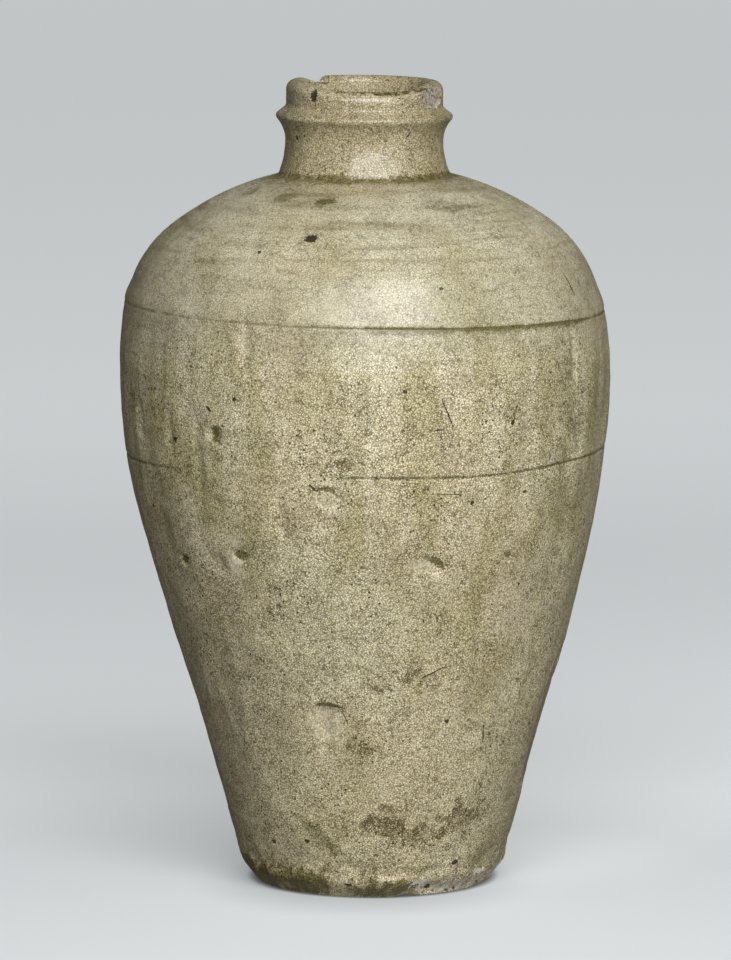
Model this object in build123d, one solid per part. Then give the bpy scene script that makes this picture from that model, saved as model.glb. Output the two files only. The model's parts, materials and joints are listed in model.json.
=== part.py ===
from build123d import *
import os
from math import acos, asin, atan2, cos, degrees, hypot, radians, sin, tan

# Meiping vase: stoneware sections thrown on the wheel, luted together with slip and coated with glaze.
# Millimetres, +Z up, origin at the centre of the ring that the foot rests on. The front faces -Y.
# Every section is a half profile in the XZ plane, with X as the radius, spun round the Z axis.

# Coats and walls
GLAZE = 0.6                 # fired thickness of the glaze over the clay
WALL = 6.0                  # thrown wall of the body
SLIP = 0.8                  # film of slip that lutes two sections together

# Foot, on the bare clay
FOOT_RING_RADIUS = 42.8     # outer edge of the ring that touches the table
FOOT_RADIUS = 48.8          # upright band above the bevel
FOOT_BEVEL_HEIGHT = 7.6     # height of the corner between bevel and band
FOOT_ARRIS_ROUND = 4.0      # softened corner between bevel and band
FOOT_BAND_TOP = 12.5        # where the band starts to step out into the wall
FOOT_STEP_BEND = 6.0        # hollow bend, and the rounded bend after it, from the band into the wall
FOOT_STEP_TURN = 45.0       # how far the step leans out between the two, in degrees
FOOT_RECESS_RADIUS = 33.0   # shallow turned hollow under the foot
FOOT_RECESS_DEPTH = 2.2
FLOOR_HEIGHT = 11.0         # inside floor above the table
FLOOR_FILLET = 7.0          # inside corner between floor and wall

# Body, on the bare clay
BELLY_RADIUS = 91.4         # widest part
BELLY_HEIGHT = 197.5        # height of the widest part
BELLY_BEND = 264.0          # long swell below the widest part
UPPER_BELLY_BEND = 85.4     # swell just above the widest part
UPPER_BELLY_TURN = 21.2     # how far it leans in, in degrees
SHOULDER_BEND = 44.5        # tightest turn of the shoulder
SHOULDER_TURN = 32.8
CROWN_BEND = 106.0          # flatter top of the shoulder, up to the neck

# Neck and lip, on the bare clay
NECK_RADIUS = 28.9          # waist of the neck
NECK_ROOT_FILLET = 2.8      # hollow corner where the neck stands on the shoulder
NECK_BASE_LEAN = 22.0       # how far the neck leans in above its root, in degrees
LOWER_NECK_BEND = 31.3      # hollow below the waist
UPPER_NECK_BEND = 11.5      # hollow above the waist, out to the ridge
RIDGE_UNDER_LEAN = 43.0     # how far the underside of the ridge leans out, in degrees
RIDGE_ROUND = 1.0           # rounded edge of the ridge
RIDGE_TOP_LEAN = 52.0       # how far the top of the ridge leans in, in degrees
RIDGE_TOP_LENGTH = 3.5
LIP_CREASE_ROUND = 1.6      # hollow between ridge and lip
LIP_BAND = 4.6              # upright side of the lip below its roll
LIP_THICKNESS = 5.0
LIP_ROLL_SHARE = 0.64       # share of the lip that the outer roll takes, the rest rounds into the mouth

# Seams between the thrown sections
BASE_SEAM_HEIGHT = 12.0     # flat seam between the base slab and the wall
LOWER_SEAM_DROP = 33.9      # seam below the widest part, behind the lower incised line
UPPER_SEAM_RISE = 20.3      # seam above the widest part, behind the upper incised line
BODY_SEAM_SLOPE = 0.5       # fall of the bevelled seam per unit of wall, down to the inside
NECK_SEAM_SLOPE = 0.65

# Reach of the glaze
GLAZE_FOOT_GAP = 2.4        # bare clay along the bevel, between the ring and the glaze
MOUTH_GLAZE_DEPTH = 24.0    # glazed bore below the roll of the lip
INCISED_DEPTH = 0.4         # lines that run round the body over the two body seams

# Old damage, with bearings in degrees from the front, positive to the right
RIM_NICK_BEARING = 221.0    # bite out of the far rim
RIM_NICK_RADIUS = 6.0
RIM_NICK_DEPTH = 2.0
LIP_FLAKE_BEARING = 62.0    # flat flake off the side of the lip
LIP_FLAKE_WIDTH = 17.0
LIP_FLAKE_HEIGHT = 6.6
LIP_FLAKE_DEPTH = 1.3
LIP_PIT_BEARING = 317.5     # burst bubble in the lip
LIP_PIT_RADIUS = 1.7
SCAR_BEARING = 84.0         # long flat scrape on the right side of the lower wall
SCAR_HEIGHT = 54.0
SCAR_LENGTH = 40.0
SCAR_DEPTH = 0.9
FOOT_CHIP_BEARINGS = (24.0, 37.0, 52.0, 66.0, 79.0)
FOOT_CHIP_RADIUS = 7.0
FOOT_CHIP_DEPTH = 1.4


# Paths of straights and bends, walked up the outside of the vase. A lean is in degrees from straight
# up, positive to the left, which is in towards the axis.

def direction(lean):
    """Unit vector in the profile plane, leaning in from straight up."""
    return Vector(-sin(radians(lean)), 0, cos(radians(lean)))


def walk(start, lean, stretches, outset=0.0):
    """Edges along (size, turn) stretches, all moved outwards by outset, which is to the right.

    A stretch with no turn is a straight of that length. Otherwise it is a bend of that radius,
    and a positive turn goes to the left. Gives the edges and the point that they end at.
    """
    edges = []
    point = start + outset * direction(lean - 90)
    for size, turn in stretches:
        if turn == 0:
            end = point + size * direction(lean)
            edges.append(Line(point, end))
        else:
            side = 1 if turn > 0 else -1
            radius = size + side * outset
            centre = point + radius * direction(lean + 90 * side)
            middle = centre + radius * direction(lean - 90 * side + turn / 2)
            end = centre + radius * direction(lean - 90 * side + turn)
            edges.append(ThreePointArc(point, middle, end))
            lean += turn
        point = end
    return edges, point


def closed_face(edges, corners):
    """Face bounded by a run of edges and the straight lines that close it through the corners."""
    points = [edges[-1] @ 1, *corners, edges[0] @ 0]
    closing = [Line(a, b) for a, b in zip(points, points[1:])]
    return Face(Wire([*edges, *closing]))


def half_face(*corners):
    """Straight-sided face in the profile plane, from (radius, height) corners."""
    return make_face(Polyline(*[(r, 0, z) for r, z in corners], close=True).edges())


def spin(face):
    """Solid made by turning a profile face once round the axis of the vase."""
    return revolve(face, axis=Axis.Z, revolution_arc=360)


# Outside of the clay, from the foot ring to the lip

ring_edge = Vector(FOOT_RING_RADIUS, 0, 0)
bevel_run = FOOT_RADIUS - FOOT_RING_RADIUS
bevel_lean = degrees(atan2(bevel_run, FOOT_BEVEL_HEIGHT))
arris_tangent = FOOT_ARRIS_ROUND * tan(radians(bevel_lean) / 2)
bevel = hypot(bevel_run, FOOT_BEVEL_HEIGHT) - arris_tangent
band = FOOT_BAND_TOP - FOOT_BEVEL_HEIGHT - arris_tangent

# The wall is the straight line that touches both the rounded bend above the foot and the belly's swell
band_top = Vector(FOOT_RADIUS, 0, FOOT_BAND_TOP)
_, step_middle = walk(band_top, 0, [(FOOT_STEP_BEND, -FOOT_STEP_TURN)])
step_centre = step_middle + FOOT_STEP_BEND * direction(90 - FOOT_STEP_TURN)
belly_centre = Vector(BELLY_RADIUS - BELLY_BEND, 0, BELLY_HEIGHT)
between = belly_centre - step_centre
bend_difference = BELLY_BEND - FOOT_STEP_BEND
wall_lean = degrees(asin(bend_difference / between.length) - atan2(-between.X, between.Z))
wall_length = (between.length ** 2 - bend_difference ** 2) ** 0.5

# The crown ends where the fillet at the neck's root brings the neck to its width
neck_start_radius = NECK_RADIUS + LOWER_NECK_BEND * (1 - cos(radians(NECK_BASE_LEAN)))
shoulder_lean = UPPER_BELLY_TURN + SHOULDER_TURN
belly_to_shoulder = (UPPER_BELLY_BEND - SHOULDER_BEND) * cos(radians(UPPER_BELLY_TURN))
shoulder_centre = BELLY_RADIUS - UPPER_BELLY_BEND + belly_to_shoulder
crown_centre = shoulder_centre + (SHOULDER_BEND - CROWN_BEND) * cos(radians(shoulder_lean))
fillet_centre = neck_start_radius + NECK_ROOT_FILLET * cos(radians(NECK_BASE_LEAN))
crown_lean = degrees(acos((fillet_centre - crown_centre) / (CROWN_BEND + NECK_ROOT_FILLET)))

lip_roll = LIP_THICKNESS * LIP_ROLL_SHARE
lip_inner_round = LIP_THICKNESS - lip_roll

foot_stretches = [
    (bevel, 0),
    (FOOT_ARRIS_ROUND, bevel_lean),
    (band, 0),
    (FOOT_STEP_BEND, -FOOT_STEP_TURN),
    (FOOT_STEP_BEND, FOOT_STEP_TURN - wall_lean),
]
body_stretches = [
    (wall_length, 0),
    (BELLY_BEND, wall_lean),
    (UPPER_BELLY_BEND, UPPER_BELLY_TURN),
    (SHOULDER_BEND, SHOULDER_TURN),
    (CROWN_BEND, crown_lean - shoulder_lean),
]
neck_stretches = [
    (NECK_ROOT_FILLET, NECK_BASE_LEAN - crown_lean),
    (LOWER_NECK_BEND, -NECK_BASE_LEAN),
    (UPPER_NECK_BEND, -RIDGE_UNDER_LEAN),
    (RIDGE_ROUND, RIDGE_UNDER_LEAN + RIDGE_TOP_LEAN),
    (RIDGE_TOP_LENGTH, 0),
    (LIP_CREASE_ROUND, -RIDGE_TOP_LEAN),
    (LIP_BAND, 0),
    (lip_roll, 90),
    (lip_inner_round, 90),
]
outside = foot_stretches + body_stretches + neck_stretches

_, foot_end = walk(ring_edge, -bevel_lean, foot_stretches)
_, neck_root = walk(foot_end, -wall_lean, body_stretches)
clay_edges, mouth_edge = walk(ring_edge, -bevel_lean, outside)
bore_radius = mouth_edge.X
lip_top = mouth_edge.Z + lip_inner_round
mouth_radius = bore_radius - GLAZE

clay = closed_face(clay_edges, [(0, 0, mouth_edge.Z), (0, 0, 0)])
recess = half_face((0, 0), (FOOT_RECESS_RADIUS, 0), (FOOT_RECESS_RADIUS, FOOT_RECESS_DEPTH),
                   (0, FOOT_RECESS_DEPTH))

# Inside of the clay: the body's own profile drawn in by the wall, down to a rounded floor, and the bore
wall_rise = WALL * sin(radians(wall_lean))
floor_reach = (foot_end.Z + wall_rise - FLOOR_HEIGHT) / cos(radians(wall_lean))
inside_start = foot_end - floor_reach * direction(-wall_lean)
inside_stretches = [(wall_length + floor_reach, 0), *body_stretches[1:]]
inside_edges, inside_top = walk(inside_start, -wall_lean, inside_stretches, -WALL)
floor_edge = inside_edges[0] @ 0
inside = closed_face(inside_edges, [(0, 0, inside_top.Z), (0, 0, FLOOR_HEIGHT)])
inside = fillet(inside.vertices().sort_by_distance(floor_edge)[0], FLOOR_FILLET)
bore = half_face((0, BELLY_HEIGHT), (bore_radius, BELLY_HEIGHT), (bore_radius, lip_top + WALL),
                 (0, lip_top + WALL))
wall = clay - recess - inside - bore


# Seams: bevelled films of slip that cut the clay into its thrown sections

REACH = BELLY_RADIUS + 2 * WALL     # past the widest part of the clay


def radius_at(face, height):
    """Outer radius of a profile face at a height."""
    level = Line((0, 0, height), (REACH, 0, height))
    return max(point.X for point in (face & level).vertices())


def seam_line(radius, height, slope, shift):
    """Inner and outer (radius, height) ends of a seam face through a point on the outside."""
    return [(r, height + shift - slope * (radius - r)) for r in (0, REACH)]


def band_between(lower, upper):
    """Piece of the wall between two seam faces."""
    return wall & half_face(*lower, *reversed(upper))


lower_seam_height = BELLY_HEIGHT - LOWER_SEAM_DROP
upper_seam_height = BELLY_HEIGHT + UPPER_SEAM_RISE
seams = {
    "base_luting": (FOOT_RADIUS, BASE_SEAM_HEIGHT, 0),
    "lower_luting": (radius_at(clay, lower_seam_height), lower_seam_height, BODY_SEAM_SLOPE),
    "upper_luting": (radius_at(clay, upper_seam_height), upper_seam_height, BODY_SEAM_SLOPE),
    "neck_luting": (neck_root.X, neck_root.Z, NECK_SEAM_SLOPE),
}
sections = ["base_slab", "lower_wall", "belly_wall", "shoulder", "neck"]

nodes = {}
below = [(0, -WALL), (REACH, -WALL)]
for section, (luting, seam) in zip(sections, seams.items()):
    slip_bottom = seam_line(*seam, -SLIP / 2)
    slip_top = seam_line(*seam, SLIP / 2)
    nodes[section] = spin(band_between(below, slip_bottom))
    nodes[luting] = spin(band_between(slip_bottom, slip_top))
    below = slip_top
above = [(0, lip_top + REACH), (REACH, lip_top + REACH)]
nodes[sections[-1]] = spin(band_between(below, above))


# Glaze: one coat over the outside and the lip, and a lining poured into the mouth

glazed_start = ring_edge + GLAZE_FOOT_GAP * direction(-bevel_lean)
glazed_stretches = [(bevel - GLAZE_FOOT_GAP, 0), *outside[1:]]
under_glaze, _ = walk(glazed_start, -bevel_lean, glazed_stretches)
glaze_edges, glaze_end = walk(glazed_start, -bevel_lean, glazed_stretches, GLAZE)
glaze_ends = [Line(under_glaze[0] @ 0, glaze_edges[0] @ 0), Line(glaze_end, mouth_edge)]
coat = Face(Wire([*under_glaze, *glaze_edges, *glaze_ends]))
for height in (lower_seam_height, upper_seam_height):
    line_centre = Vector(radius_at(coat, height), 0, height)
    coat -= make_face(Plane(line_centre, z_dir=(0, 1, 0)) * CenterArc((0, 0), INCISED_DEPTH, 0, 360))
nodes["outer_glaze"] = spin(coat)

lining_bottom = mouth_edge.Z - MOUTH_GLAZE_DEPTH
lining = half_face((mouth_radius, lining_bottom), (bore_radius, lining_bottom),
                   (bore_radius, mouth_edge.Z), (mouth_radius, mouth_edge.Z))
nodes["mouth_glaze"] = spin(lining)


# Old damage, cut through the glaze and into the clay

glaze_top = lip_top + GLAZE
lip_outer_radius = bore_radius + LIP_THICKNESS + GLAZE
lip_middle = lip_top - lip_roll


def placed(bearing, radius, height):
    """Place on the vase, with local -Y pointing out along the bearing."""
    return Rot(0, 0, bearing) * Pos(0, -radius, height)


nick_height = glaze_top - RIM_NICK_DEPTH + RIM_NICK_RADIUS
rim_nick = placed(RIM_NICK_BEARING, lip_outer_radius, nick_height) * Rot(90, 0, 0) * Cylinder(
    RIM_NICK_RADIUS, 4 * LIP_THICKNESS)

flake_middle = lip_outer_radius - LIP_FLAKE_DEPTH + LIP_THICKNESS / 2
lip_flake = placed(LIP_FLAKE_BEARING, flake_middle, lip_middle) * Box(
    LIP_FLAKE_WIDTH, LIP_THICKNESS, LIP_FLAKE_HEIGHT)

lip_pit = placed(LIP_PIT_BEARING, lip_outer_radius, lip_middle) * Sphere(LIP_PIT_RADIUS)

scar_radius = radius_at(coat, SCAR_HEIGHT) - SCAR_DEPTH + WALL / 2
scar = placed(SCAR_BEARING, scar_radius, SCAR_HEIGHT) * Rot(wall_lean, 0, 0) * Box(
    FOOT_RADIUS, WALL, SCAR_LENGTH)

bevel_middle = ring_edge + bevel / 2 * direction(-bevel_lean)
chip_centre = bevel_middle + (FOOT_CHIP_RADIUS - FOOT_CHIP_DEPTH) * direction(-bevel_lean - 90)
foot_chips = [
    placed(bearing, chip_centre.X, chip_centre.Z) * Sphere(FOOT_CHIP_RADIUS)
    for bearing in FOOT_CHIP_BEARINGS
]

damage = {
    "neck": [rim_nick, lip_flake, lip_pit],
    "mouth_glaze": [rim_nick],
    "lower_wall": [scar],
    "base_slab": foot_chips,
    "outer_glaze": [rim_nick, lip_flake, lip_pit, scar, *foot_chips],
}
for name, cuts in damage.items():
    nodes[name] -= cuts


# Solids, one file for each piece

os.makedirs("parts", exist_ok=True)
for name, solid in nodes.items():
    export_step(solid, f"parts/{name}.step")

print(f"height {glaze_top:.2f}, belly {2 * (BELLY_RADIUS + GLAZE):.1f}, mouth {2 * mouth_radius:.2f}")
print(f"wall leans out {wall_lean:.2f} degrees, neck root at {neck_root.Z:.2f}")
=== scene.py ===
import json
from math import cos, pi, radians, sin

import bmesh
import bpy
import numpy as np
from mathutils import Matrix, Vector, noise

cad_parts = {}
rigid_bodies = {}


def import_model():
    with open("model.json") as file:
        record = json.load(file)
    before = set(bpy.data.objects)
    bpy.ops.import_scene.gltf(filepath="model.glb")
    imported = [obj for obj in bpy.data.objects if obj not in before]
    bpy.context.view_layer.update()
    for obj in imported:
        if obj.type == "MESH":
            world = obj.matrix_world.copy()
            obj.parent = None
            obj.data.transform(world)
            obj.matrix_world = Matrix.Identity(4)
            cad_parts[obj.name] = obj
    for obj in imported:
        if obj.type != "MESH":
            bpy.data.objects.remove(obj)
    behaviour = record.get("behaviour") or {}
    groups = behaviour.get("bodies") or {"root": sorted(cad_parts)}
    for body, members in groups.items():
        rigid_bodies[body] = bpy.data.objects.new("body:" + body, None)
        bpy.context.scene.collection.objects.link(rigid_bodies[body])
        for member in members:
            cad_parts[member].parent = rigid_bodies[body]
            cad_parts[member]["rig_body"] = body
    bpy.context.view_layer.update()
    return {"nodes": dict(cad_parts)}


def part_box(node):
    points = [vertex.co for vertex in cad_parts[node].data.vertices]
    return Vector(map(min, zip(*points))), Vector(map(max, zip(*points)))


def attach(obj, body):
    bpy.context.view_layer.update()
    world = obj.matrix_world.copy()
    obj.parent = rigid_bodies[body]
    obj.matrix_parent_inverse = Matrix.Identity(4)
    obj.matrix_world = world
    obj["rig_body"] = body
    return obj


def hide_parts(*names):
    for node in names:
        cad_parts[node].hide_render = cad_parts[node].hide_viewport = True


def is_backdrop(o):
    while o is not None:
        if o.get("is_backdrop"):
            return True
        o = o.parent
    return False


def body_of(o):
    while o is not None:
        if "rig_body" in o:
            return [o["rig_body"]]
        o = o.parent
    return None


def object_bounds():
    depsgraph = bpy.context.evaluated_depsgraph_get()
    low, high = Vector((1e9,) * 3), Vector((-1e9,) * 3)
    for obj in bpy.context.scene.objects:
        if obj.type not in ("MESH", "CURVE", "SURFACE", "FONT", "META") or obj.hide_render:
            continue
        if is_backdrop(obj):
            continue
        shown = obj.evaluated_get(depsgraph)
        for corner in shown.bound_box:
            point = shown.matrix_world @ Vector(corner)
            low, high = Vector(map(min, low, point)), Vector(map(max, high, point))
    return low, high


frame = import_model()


# Base slab: a thick disc of stoneware that the wall stands on, thrown on the wheel. Its edge is turned to
# a bevel and its underside is hollowed a little. Both stay bare, so the clay shows at the very foot.
mm = 0.001
same_point = 0.0005 * mm
sound_side = radians(285.4)    # bearing at which no solid has any damage


def section_of(name):
    """Half profile of a solid of the frame as (radius, height) points, cut where it has no damage."""
    outwards = Vector((sin(sound_side), -cos(sound_side), 0))
    sideways = Vector((cos(sound_side), sin(sound_side), 0))
    cut = bmesh.new()
    cut.from_mesh(frame["nodes"][name].data)
    bmesh.ops.remove_doubles(cut, verts=cut.verts, dist=same_point)
    for normal, both in ((sideways, True), (outwards, False)):
        bmesh.ops.bisect_plane(cut, geom=[*cut.verts, *cut.edges, *cut.faces], plane_co=(0, 0, 0),
                               plane_no=normal, clear_inner=True, clear_outer=both)
    cut.verts.ensure_lookup_table()
    ends = [v for v in cut.verts if len(v.link_edges) == 1]
    vertex, edge, points = (ends or cut.verts)[0], None, []
    while vertex is not None:
        points.append((vertex.co.dot(outwards), vertex.co.z))
        edge = next((e for e in vertex.link_edges if e != edge), None)
        vertex = edge.other_vert(vertex) if edge else None
        if vertex and len(points) > 1 and (vertex.co.dot(outwards), vertex.co.z) == points[0]:
            break
    cut.free()
    return np.array(points), bool(ends)


def divided(points, step, open_ended):
    """Outline with points added so that no two neighbours are further apart than a step."""
    ends = points if open_ended else np.vstack([points, points[:1]])
    rows = []
    for a, b in zip(ends, ends[1:]):
        count = max(1, int(np.ceil(np.linalg.norm(b - a) / step)))
        rows.extend(a + (b - a) * k / count for k in range(count))
    if open_ended:
        rows.append(ends[-1])
    return np.array(rows)


tiny = 1e-12    # keeps a division by nought from failing
coat_section, _ = section_of("outer_glaze")
glaze_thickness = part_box("outer_glaze")[1].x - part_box("belly_wall")[1].x


def depth_below(points):
    """How far clay points lie under the glazed surface."""
    start = coat_section
    run = np.roll(coat_section, -1, axis=0) - start
    apart = points[:, None, :] - start
    share = np.clip((apart * run).sum(2) / np.maximum((run * run).sum(1), tiny), 0, 1)
    return glaze_thickness + np.linalg.norm(apart - share[..., None] * run, axis=2).min(1)


def node(tree, kind, inputs=None, **settings):
    """New node with its settings, and with its inputs either linked or set."""
    made = tree.nodes.new(kind)
    for name, value in settings.items():
        setattr(made, name, value)
    for key, value in (inputs or {}).items():
        if isinstance(value, bpy.types.NodeSocket):
            tree.links.new(value, made.inputs[key])
        else:
            made.inputs[key].default_value = value
    return made


def tree_of(*values):
    """Node tree that the linked ones among some values belong to."""
    return next(value.id_data for value in values if isinstance(value, bpy.types.NodeSocket))


def calc(operation, *values):
    """Output of a math node."""
    return node(tree_of(*values), "ShaderNodeMath", dict(enumerate(values)), operation=operation).outputs[0]


def times(first, second):
    """Product of two values."""
    return calc("MULTIPLY", first, second)


def plus(first, second):
    """Sum of two values."""
    return calc("ADD", first, second)


def minus(first, second):
    """Difference of two values."""
    return calc("SUBTRACT", first, second)


def over(first, second):
    """Quotient of two values."""
    return calc("DIVIDE", first, second)


def whole(operation, *values):
    """Output of a whole-number math node."""
    return node(tree_of(*values), "FunctionNodeIntegerMath", dict(enumerate(values)),
                operation=operation).outputs[0]


def noise_of(vector, size, seed, detail=2.0):
    """Noise from 0 to 1 whose lumps have a size in metres."""
    tree = tree_of(vector)
    scale = node(tree, "ShaderNodeMath", {0: 1.0, 1: size}, operation="DIVIDE").outputs[0]
    inputs = {"Vector": vector, "W": seed, "Scale": scale, "Detail": detail}
    return node(tree, "ShaderNodeTexNoise", inputs, noise_dimensions="4D").outputs[0]


# Every thrown piece comes from one tree: it spins an outline round the axis, column by column, lets the
# wall wander as a thrown one does, raises the potter's finger rings and draws the two lines round the body.
# It has one set of values for all pieces, so that clay, slip and glaze wander together and still fit.
thrown = bpy.data.node_groups.new("thrown_wall", "GeometryNodeTree")
line_drop = 0.4 * mm    # from the top of a seam's slip to the line that hides the seam
line_heights = [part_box(slip)[1].z - line_drop for slip in ("lower_luting", "upper_luting")]
throwing = {
    "Wobble": 2.4 * mm, "Wobble Size": 62 * mm, "Ripple": 0.9 * mm, "Ripple Size": 17 * mm,
    "Ring Depth": 0.45 * mm, "Ring Spacing": 7 * mm, "Seed": 4.0,
    "Run": 1.9 * mm, "Run Width": 11 * mm, "Run Length": 80 * mm,
    "Run Low": 40 * mm, "Run High": 222 * mm,
    "Line Depth": 0.26 * mm, "Line Width": 0.62 * mm, "Tilt Reach": 22 * mm,
    "Upper Line": line_heights[1], "Upper Tilt": -2.0 * mm, "Upper Faint": radians(-50),
    "Lower Line": line_heights[0], "Lower Tilt": 1.4 * mm, "Lower Faint": radians(-31),
    "Upper Sag": 0.0, "Lower Sag": 1.5 * mm, "Sag Bearing": radians(29),
    "Upper Ledge": 0.65 * mm, "Lower Ledge": 0.0,
}
kinds = {"Outline": "Geometry", "Points": "Int", "Steps": "Int", "Columns": "Int", "Finish": "Material"}
for name, kind in (kinds | dict.fromkeys(throwing, "Float")).items():
    thrown.interface.new_socket(name, in_out="INPUT", socket_type="NodeSocket" + kind)
thrown.interface.new_socket("Wall", in_out="OUTPUT", socket_type="NodeSocketGeometry")
given = node(thrown, "NodeGroupInput").outputs

rows_down = whole("ADD", given["Steps"], 1)
grid = node(thrown, "GeometryNodeMeshGrid", {
    "Size X": 1.0, "Size Y": 1.0,
    "Vertices X": whole("ADD", given["Columns"], 1), "Vertices Y": rows_down})
index = node(thrown, "GeometryNodeInputIndex").outputs[0]
column = whole("MODULO", whole("DIVIDE_FLOOR", index, rows_down), given["Columns"])
point = whole("MODULO", whole("MODULO", index, rows_down), given["Points"])
bearing = times(over(column, given["Columns"]), 2 * pi)
sine = calc("SINE", bearing)
cosine = calc("COSINE", bearing)

sampled = node(thrown, "GeometryNodeSampleIndex", {
    "Geometry": given["Outline"], "Value": node(thrown, "GeometryNodeInputPosition").outputs[0],
    "Index": point}, data_type="FLOAT_VECTOR")
radius, _, height = node(thrown, "ShaderNodeSeparateXYZ", {0: sampled.outputs[0]}).outputs
named_depth = node(thrown, "GeometryNodeInputNamedAttribute", {"Name": "under"}, data_type="FLOAT")
under = node(thrown, "GeometryNodeSampleIndex", {
    "Geometry": given["Outline"], "Value": named_depth.outputs[0], "Index": point},
    data_type="FLOAT").outputs[0]


def round_place(reach, rise=height):
    """Place on a plain drum, so that the inside and the outside of the wall wander together."""
    return node(thrown, "ShaderNodeCombineXYZ", {
        0: times(sine, reach), 1: times(cosine, -reach), 2: rise}).outputs[0]


def wander(reach, size, amount, shift, rise=height):
    """Noise round the wall, in and out by an amount."""
    seed = plus(given["Seed"], shift)
    value = noise_of(round_place(reach, rise), given[size], seed)
    return times(minus(value, 0.5), given[amount])


def bell(value):
    """Hump of 1 at nought that dies away on both sides."""
    return calc("EXPONENT", times(times(value, value), -1.0))


def hump_at(middle, sharpness):
    """Hump of 1 round a bearing."""
    turned = calc("COSINE", minus(bearing, middle))
    return calc("EXPONENT", times(minus(turned, 1.0), sharpness))


def ramped(value, low, high, start=0.0, end=1.0, ease="SMOOTHSTEP"):
    """Value that goes from start to end while another goes from low to high."""
    return node(tree_of(value), "ShaderNodeMapRange", {0: value, 1: low, 2: high, 3: start, 4: end},
                interpolation_type=ease).outputs[0]


# The wall wanders in broad swells and in ripples, with finger rings and runs of glaze over them. The
# smaller a drum, the less its noise changes round the vase. All of it fades out towards the axis.
body_drum, ring_drum, run_drum, line_drum = 70 * mm, 6 * mm, 75 * mm, 90 * mm
run_start, run_end = 40 * mm, 16 * mm
still_radius, moving_radius = 2 * mm, 30 * mm
moved_out = plus(wander(body_drum, "Wobble Size", "Wobble", 0.0),
                 wander(body_drum, "Ripple Size", "Ripple", 5.0))
moved_out = plus(moved_out, wander(ring_drum, "Ring Spacing", "Ring Depth", 9.0))
run_rise = times(height, over(given["Run Width"], given["Run Length"]))
run_zone = times(ramped(height, given["Run Low"], plus(given["Run Low"], run_start)),
                 ramped(height, given["Run High"], minus(given["Run High"], run_end)))
glaze_run = times(wander(run_drum, "Run Width", "Run", 13.0, run_rise), run_zone)
moved_out = plus(moved_out, glaze_run)
moved_out = times(moved_out, ramped(radius, still_radius, moving_radius))

# The two lines round the body: shallow grooves, drawn askew and worn faint over a stretch. The upper one
# lies under a low ledge.
on_surface = calc("LESS_THAN", under, 0.3 * mm)
ledge_middle, ledge_spread = 2.2 * mm, 4.0 * mm
patch_size = 14 * mm
moved_up, pooled = 0.0, 0.0
sag = hump_at(given["Sag Bearing"], 14.0)
for line, faint_width, faint_share, strength in (("Upper", 3.0, 0.55, 1.0), ("Lower", 14.0, 1.0, 0.9)):
    gap = minus(height, given[line + " Line"])
    groove = bell(over(gap, given["Line Width"]))
    faint = minus(1.0, times(hump_at(given[line + " Faint"], faint_width), faint_share))
    patchy = noise_of(round_place(line_drum), patch_size, plus(given["Seed"], faint_width))
    patchy = ramped(patchy, 0.25, 0.5, 0.55, 1.0, "LINEAR")
    cut = times(times(groove, times(patchy, faint)), strength)
    pooled = plus(pooled, cut)
    ledge = bell(over(minus(gap, ledge_middle), ledge_spread))
    moved_out = plus(moved_out, times(ledge, given[line + " Ledge"]))
    tilt = times(given[line + " Tilt"], sine)
    tilt = minus(tilt, times(given[line + " Sag"], sag))
    near = bell(over(gap, given["Tilt Reach"]))
    moved_up = plus(moved_up, times(tilt, near))
pooled = times(pooled, on_surface)
moved_out = minus(moved_out, times(pooled, given["Line Depth"]))

weld_distance = 0.002 * mm
final_radius = plus(radius, moved_out)
position = node(thrown, "ShaderNodeCombineXYZ", {
    0: times(sine, final_radius),
    1: times(times(cosine, final_radius), -1.0),
    2: plus(height, moved_up)}).outputs[0]
shell = grid.outputs[0]
for name, value in (("under", under), ("pool", pooled)):
    shell = node(thrown, "GeometryNodeStoreNamedAttribute", {
        "Geometry": shell, "Name": name, "Value": value}, data_type="FLOAT", domain="POINT").outputs[0]
shell = node(thrown, "GeometryNodeSetPosition", {"Geometry": shell, "Position": position}).outputs[0]
shell = node(thrown, "GeometryNodeMergeByDistance", {
    "Geometry": shell, "Distance": weld_distance}).outputs[0]
shell = node(thrown, "GeometryNodeSetShadeSmooth", {0: shell}).outputs[0]
shell = node(thrown, "GeometryNodeRealizeInstances", {0: shell}).outputs[0]
shell = node(thrown, "GeometryNodeSetMaterial", {
    "Geometry": shell, "Material": given["Finish"]}).outputs[0]
node(thrown, "NodeGroupOutput", {0: shell})

marks = []


def mark(bearing, height, wide, tall, **effects):
    """Notes a mark on the wall: its bearing in degrees from the front, its sizes in millimetres."""
    marks.append((radians(bearing), height * mm, wide * mm, tall * mm, effects))


def eased(value, low, high):
    """Value that eases from 0 to 1 between low and high."""
    share = np.clip((value - low) / (high - low), 0, 1)
    return share * share * (3 - 2 * share)


def lumps(points, per_metre):
    """Smooth lumps from -1 to 1 at points."""
    return np.array([noise.noise(Vector(p) * per_metre) for p in points])


def turned_to(place, bearing):
    """How far points lie to the side of a bearing, and how far out along it."""
    side = place[:, 0] * cos(bearing) + place[:, 1] * sin(bearing)
    return side, place[:, 0] * sin(bearing) - place[:, 1] * cos(bearing)


def clip_flat(place, under, bearing, height, reach, lean, wide, tall, border):
    """Cuts a ragged oval flat across the wall at a reach from the axis, and gives how far it cut."""
    out = np.array((sin(bearing) * cos(lean), -cos(bearing) * cos(lean), -sin(lean)))
    side, _ = turned_to(place, bearing)
    rough = lumps(place, 310) + 0.7 * lumps(place, 830)
    past = place @ out + height * sin(lean) - reach + under + 0.12 * mm * rough
    oval = np.hypot(side / wide, (place[:, 2] - height) / tall) * (1 + 0.12 * rough)
    past = np.maximum(past, 0) * eased((1 - oval) * tall, 0, border) * (under < 2 * mm)
    place -= past[:, None] * out
    return past


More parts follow.
